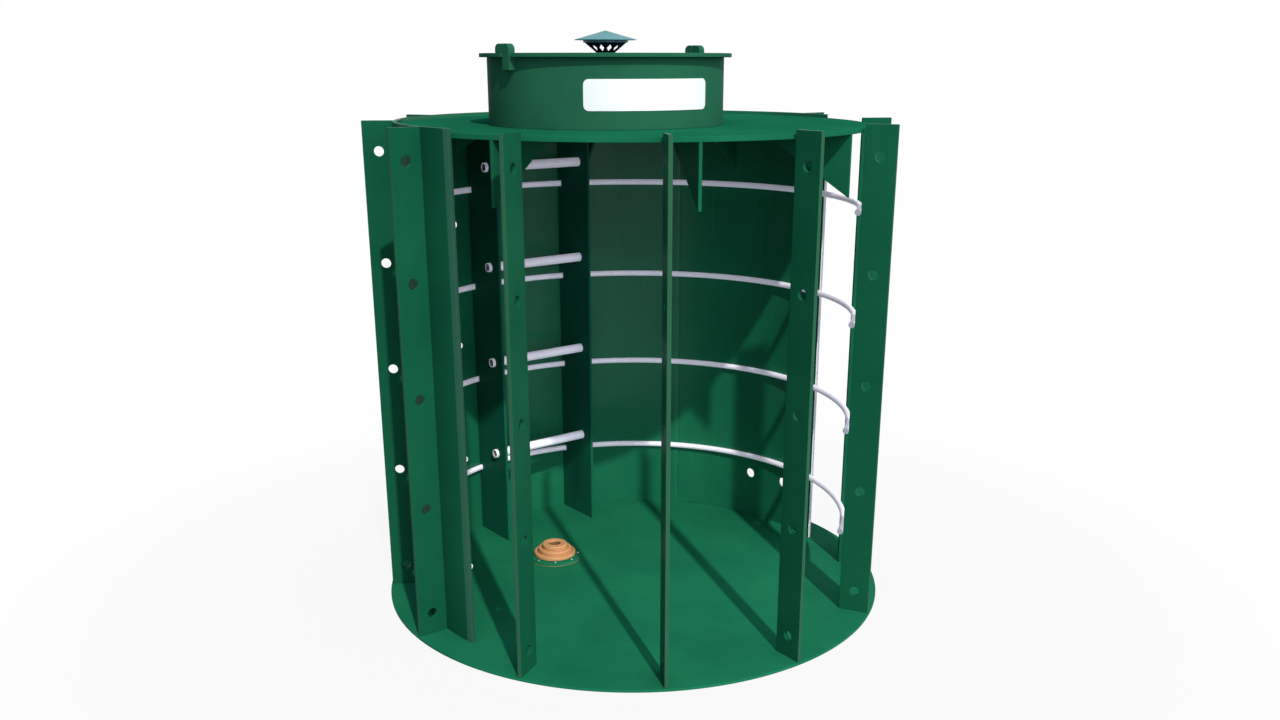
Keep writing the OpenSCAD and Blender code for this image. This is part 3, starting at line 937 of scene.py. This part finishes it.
def skin_material(name, skin, light, dark, roughness, bump, specular, streaks=UPRIGHT_STREAKS):
    """A moulded or extruded plastic: two close colours mixed by the mottle, rougher where scuffed.

    Returns the material's shader.
    """
    material, nodes, links, shader = plain_bsdf(name)
    surface = new_node(nodes, "ShaderNodeGroup", node_tree=skin)
    surface.inputs["Streak Scale"].default_value = streaks
    mix = new_node(nodes, "ShaderNodeMix", data_type="RGBA")
    mix.inputs[6].default_value = (*dark, 1.0)
    mix.inputs[7].default_value = (*light, 1.0)
    links.new(surface.outputs["Mottle"], mix.inputs[0])
    links.new(mix.outputs[2], shader.inputs["Base Color"])
    rough = new_node(nodes, "ShaderNodeMapRange", [("To Min", roughness), ("To Max", roughness + 0.08)])
    links.new(surface.outputs["Scuff"], rough.inputs["Value"])
    links.new(rough.outputs["Result"], shader.inputs["Roughness"])
    lift = new_node(nodes, "ShaderNodeBump", [("Strength", bump), ("Distance", 0.001)])
    links.new(surface.outputs["Height"], lift.inputs["Height"])
    links.new(lift.outputs["Normal"], shader.inputs["Normal"])
    shader.inputs["Specular IOR Level"].default_value = specular
    return shader


def shade(colour, factor):
    """The colour made darker or lighter by a factor, or by one each for its red, green and blue."""
    return tuple(np.minimum(1.0, np.array(colour) * factor))


class CAISSON_OT_finishes(bpy.types.Operator):
    """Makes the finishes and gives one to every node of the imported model"""

    bl_idname = "caisson.finishes"
    bl_label = "Finishes"

    def execute(self, context):
        finish = context.scene.caisson_finish
        skin = sheet_skin()
        # Each green: how light it is, how much more blue, its roughness, its gloss and its streaks. All
        # are copies of one sheet green with painted light and shade in their lightness and blue: the
        # floor, which faces the key light, is made lighter, the upright outer wall, ribs, stringers and
        # gussets darker, and the stringers, which stand in shade, bluer.
        lit_and_shaded_greens = {
            "green_floor": (1.1, 1.0, 0.18, 0.0015, LEVEL_STREAKS),
            "green_inside": (1.0, 1.0, 0.24, 0.17, UPRIGHT_STREAKS),
            "green_wall": (0.6, 1.0, 0.3, 0.005, UPRIGHT_STREAKS),
            "green_stringer": (0.72, 1.25, 0.3, 0.01, UPRIGHT_STREAKS),
            "green_gusset": (0.8, 1.0, 0.3, 0.01, UPRIGHT_STREAKS),
            "green_rib": (0.66, 1.0, 0.3, 0.01, UPRIGHT_STREAKS),
            "green_roof": (0.9, 1.0, 0.35, 0.0, LEVEL_STREAKS),
        }
        for name, (level, blue, rough, gloss, streaks) in lit_and_shaded_greens.items():
            factor = (level, level, level * blue)
            light = shade(finish.green, factor)
            dark = shade(finish.green_deep, factor)
            skin_material(name, skin, light, dark, rough, 0.06, gloss, streaks)

        # Each other finish: its colour, the factors of its lighter and its darker tone, its roughness, its
        # bump and its gloss.
        # The bore is the pipe's colour at less than half: painted shade inside the pipes.
        bore = shade(finish.pipe, 0.45)
        others = {
            "green_neck": (finish.neck, 1.06, 0.8, 0.35, 0.06, 0.001),
            "sawn_edge": (finish.sawn, 1.0, (0.813, 0.87, 0.871), 0.45, 0.3, 0.005),
            # A lighter green beside the left saw cut: painted reflection.
            "painted_reflection_green": (finish.scraped, 1.0, (0.857, 0.889, 0.882), 0.45, 0.3, 0.005),
            "cut_green": (finish.cut_green, 1.0, (0.667, 0.75, 0.833), 0.45, 0.3, 0.005),
            "cut_plastic": (finish.cut, 1.0, 0.9, 0.45, 0.3, 0.3),
            "pale_tube": (finish.pipe, 1.0, 0.95, 0.3, 0.05, 0.6),
            "tube_bore_painted_shade": (bore, 1.0, 0.95, 0.5, 0.05, 0.1),
            "boot_rubber": (finish.rubber, 1.0, 0.85, 0.5, 0.25, 0.3),
            "bead_rubber": (finish.bead, 1.0, 0.85, 0.5, 0.25, 0.1),
            "bolt_zinc": (finish.zinc, 1.0, (0.875, 0.875, 0.89), 0.25, 0.1, 0.5),
            "sign_white": (finish.sign, 1.0, (0.954, 0.954, 0.965), 0.35, 0.05, 0.3),
            "cage_plastic": (finish.cage, 1.0, 0.7, 0.3, 0.2, 0.1),
            "collar_plastic": (finish.collar, 1.0, 0.8, 0.35, 0.1, 0.4),
            "cap_plastic": (finish.cap, 1.0, 0.9, 0.45, 0.2, 0.1),
        }
        for name, (colour, lighter, darker, rough, bump, gloss) in others.items():
            shader = skin_material(
                name, skin, shade(colour, lighter), shade(colour, darker), rough, bump, gloss)
            if name == "bolt_zinc":
                shader.inputs["Metallic"].default_value = 1.0
            # Painted light: the pale pipes glow faintly, so that they stay bright in shade.
            if name == "pale_tube":
                shader.inputs["Emission Color"].default_value = (*finish.pipe_glow, 1.0)
                shader.inputs["Emission Strength"].default_value = 0.2

        by_slot = {
            "green_plastic": "green_neck",
            "pale_pipe": "pale_tube",
            "orange_rubber": "boot_rubber",
            "dark_vent": "cage_plastic",
            "vent_cap": "cap_plastic",
        }
        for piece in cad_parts.values():
            for holder in piece.material_slots:
                holder.material = bpy.data.materials[by_slot[holder.material.name.split(".")[0]]]
        return {"FINISHED"}


def add_sun(name, azimuth, height, strength, spread, colour):
    """A sun lamp that shines from an azimuth and from a height above the horizon."""
    sun = bpy.data.objects.new(name, bpy.data.lights.new(name, "SUN"))
    bpy.context.scene.collection.objects.link(sun)
    sun.data.energy = strength
    sun.data.angle = spread
    sun.data.color = colour
    level = math.cos(height)
    towards = Vector((level * math.cos(azimuth), level * math.sin(azimuth), math.sin(height)))
    sun.rotation_euler = towards.to_track_quat("Z", "Y").to_euler()


class CAISSON_OT_stage(bpy.types.Operator):
    """Sets up the camera, the lamps, the sky and the ground"""

    bl_idname = "caisson.stage"
    bl_label = "Stage"

    def execute(self, context):
        stage = context.scene.caisson_stage
        scene = context.scene
        scene.view_settings.view_transform = "Standard"

        camera = bpy.data.objects.new("camera", bpy.data.cameras.new("camera"))
        scene.collection.objects.link(camera)
        camera.data.sensor_width = 36.0
        camera.data.lens = stage.lens
        camera.data.shift_y = stage.camera_shift
        camera.location = stage.camera_place
        camera.rotation_euler = stage.camera_turn
        scene.camera = camera

        add_sun(
            "key_light", stage.key_azimuth, stage.key_height, stage.key_strength, stage.key_spread,
            stage.key_colour)
        add_sun(
            "front_fill", stage.front_azimuth, stage.front_height, stage.front_strength,
            stage.front_spread, stage.front_colour)
        scene.world = soft_sky(stage)
        disc_ground(stage.ground)
        return {"FINISHED"}


def looking_rays(nodes, links):
    """The socket that is 1 for camera, glossy and transmission rays, and 0 for all others."""
    ray = nodes.new("ShaderNodeLightPath")
    seen = new_node(nodes, "ShaderNodeMath", operation="MAXIMUM")
    links.new(ray.outputs["Is Camera Ray"], seen.inputs[0])
    links.new(ray.outputs["Is Glossy Ray"], seen.inputs[1])
    through = new_node(nodes, "ShaderNodeMath", operation="MAXIMUM")
    links.new(seen.outputs[0], through.inputs[0])
    links.new(ray.outputs["Is Transmission Ray"], through.inputs[1])
    return through.outputs[0]


def soft_sky(stage):
    """A world that lights the object more from its bright side, and shows as plain white."""
    world = bpy.data.worlds.new("soft_sky")
    world.use_nodes = True
    nodes = world.node_tree.nodes
    links = world.node_tree.links
    fill = nodes["Background"]
    place = nodes.new("ShaderNodeTexCoord")
    side = new_node(nodes, "ShaderNodeVectorMath", operation="DOT_PRODUCT")
    side.inputs[1].default_value = stage.sky_towards
    links.new(place.outputs["Generated"], side.inputs[0])
    rise = new_node(nodes, "ShaderNodeMapRange", [("From Min", -0.35), ("From Max", 0.9)])
    links.new(side.outputs["Value"], rise.inputs["Value"])
    tint = new_node(nodes, "ShaderNodeMix", data_type="RGBA")
    tint.inputs[6].default_value = (*stage.sky_dark, 1.0)
    tint.inputs[7].default_value = (*stage.sky_bright, 1.0)
    links.new(rise.outputs["Result"], tint.inputs[0])
    links.new(tint.outputs[2], fill.inputs["Color"])
    power = new_node(nodes, "ShaderNodeMapRange", [
        ("To Min", 0.1 * stage.fill_strength), ("To Max", 1.3 * stage.fill_strength)])
    links.new(rise.outputs["Result"], power.inputs["Value"])
    links.new(power.outputs["Result"], fill.inputs["Strength"])
    white = new_node(nodes, "ShaderNodeBackground", [("Color", (1.0, 1.0, 1.0, 1.0)), ("Strength", 1.0)])
    pick = nodes.new("ShaderNodeMixShader")
    links.new(looking_rays(nodes, links), pick.inputs["Fac"])
    links.new(fill.outputs[0], pick.inputs[1])
    links.new(white.outputs[0], pick.inputs[2])
    links.new(pick.outputs[0], nodes["World Output"].inputs["Surface"])
    return world


def disc_ground(colour):
    """A flat round ground: radius r and angle t on a grid, at (r cos t, r sin t, 0).

    It shows as white with a little of the lit card mixed in near the object, which keeps the shadow, and
    as plain white farther out. The light that it gives back to the object is the card's.
    """
    radii = np.array([1.5, 3.0, 6.0, 12.0, 30.0, 80.0])
    turns = np.linspace(0.0, 2 * np.pi, 97)[:-1]
    r, t = np.meshgrid(radii, turns, indexing="ij")
    rim = np.stack([r * np.cos(t), r * np.sin(t), np.zeros_like(r)], axis=-1).reshape(-1, 3)
    verts = np.vstack([[[0.0, 0.0, 0.0]], rim])
    n = len(turns)
    k = np.arange(n)
    fan = np.stack([np.zeros(n, int), 1 + k, 1 + (k + 1) % n], axis=1)
    rows = np.arange(len(radii) - 1)[:, None] * n
    quads = np.stack([
        1 + rows + k, 1 + rows + n + k, 1 + rows + n + (k + 1) % n, 1 + rows + (k + 1) % n,
    ], axis=-1).reshape(-1, 4)
    mesh = bpy.data.meshes.new("ground")
    mesh.from_pydata(verts.tolist(), [], fan.tolist() + quads.tolist())
    ground = bpy.data.objects.new("ground", mesh)
    bpy.context.scene.collection.objects.link(ground)

    material, nodes, links, shader = plain_bsdf("ground_card")
    shader.inputs["Base Color"].default_value = (*colour, 1.0)
    shader.inputs["Roughness"].default_value = 0.8
    shader.inputs["Specular IOR Level"].default_value = 0.0
    place = nodes.new("ShaderNodeTexCoord")
    away = new_node(nodes, "ShaderNodeVectorMath", operation="LENGTH")
    links.new(place.outputs["Object"], away.inputs[0])
    far = new_node(
        nodes, "ShaderNodeMapRange", [("From Min", 1.2), ("From Max", 3.2), ("To Min", 0.92)],
        interpolation_type="SMOOTHSTEP")
    links.new(away.outputs["Value"], far.inputs["Value"])
    amount = new_node(nodes, "ShaderNodeMath", operation="MULTIPLY")
    links.new(looking_rays(nodes, links), amount.inputs[0])
    links.new(far.outputs["Result"], amount.inputs[1])
    white = new_node(nodes, "ShaderNodeEmission", [("Color", (1.0, 1.0, 1.0, 1.0))])
    pick = nodes.new("ShaderNodeMixShader")
    links.new(amount.outputs[0], pick.inputs["Fac"])
    links.new(shader.outputs[0], pick.inputs[1])
    links.new(white.outputs[0], pick.inputs[2])
    links.new(pick.outputs[0], nodes["Material Output"].inputs["Surface"])
    mesh.materials.append(material)
    return ground


class CAISSON_PT_panel(bpy.types.Panel):
    """Lists the operators that build the caisson, with its sizes, colours and stage settings"""

    bl_idname = "CAISSON_PT_panel"
    bl_label = "Plastic Caisson"
    bl_space_type = "VIEW_3D"
    bl_region_type = "UI"
    bl_category = "Caisson"

    def draw(self, context):
        layout = self.layout
        scene = context.scene
        for operator in OPERATORS:
            layout.operator(operator.bl_idname)
        for group in (scene.caisson_shape, scene.caisson_finish, scene.caisson_stage):
            box = layout.box()
            for name in type(group).__annotations__:
                box.prop(group, name)


OPERATORS = (
    CAISSON_OT_finishes,
    CAISSON_OT_floor,
    CAISSON_OT_wall,
    CAISSON_OT_ribs,
    CAISSON_OT_roof,
    CAISSON_OT_neck,
    CAISSON_OT_lid,
    CAISSON_OT_ears,
    CAISSON_OT_vent,
    CAISSON_OT_ladder,
    CAISSON_OT_hoops,
    CAISSON_OT_seal,
    CAISSON_OT_stage,
)
CLASSES = (CaissonStage, CaissonFinish, CaissonShape, *OPERATORS, CAISSON_PT_panel)


def register():
    for item in CLASSES:
        bpy.utils.register_class(item)
    bpy.types.Scene.caisson_stage = PointerProperty(type=CaissonStage)
    bpy.types.Scene.caisson_finish = PointerProperty(type=CaissonFinish)
    bpy.types.Scene.caisson_shape = PointerProperty(type=CaissonShape)


def unregister():
    del bpy.types.Scene.caisson_shape
    del bpy.types.Scene.caisson_finish
    del bpy.types.Scene.caisson_stage
    for item in reversed(CLASSES):
        bpy.utils.unregister_class(item)


def main():
    register()
    bpy.ops.caisson.finishes()
    bpy.ops.caisson.floor()
    bpy.ops.caisson.wall()
    bpy.ops.caisson.ribs()
    bpy.ops.caisson.roof()
    bpy.ops.caisson.neck()
    bpy.ops.caisson.lid()
    bpy.ops.caisson.ears()
    bpy.ops.caisson.vent()
    bpy.ops.caisson.ladder()
    bpy.ops.caisson.hoops()
    bpy.ops.caisson.seal()
    bpy.ops.caisson.stage()
    bpy.context.view_layer.update()


if __name__ == "__main__":
    main()
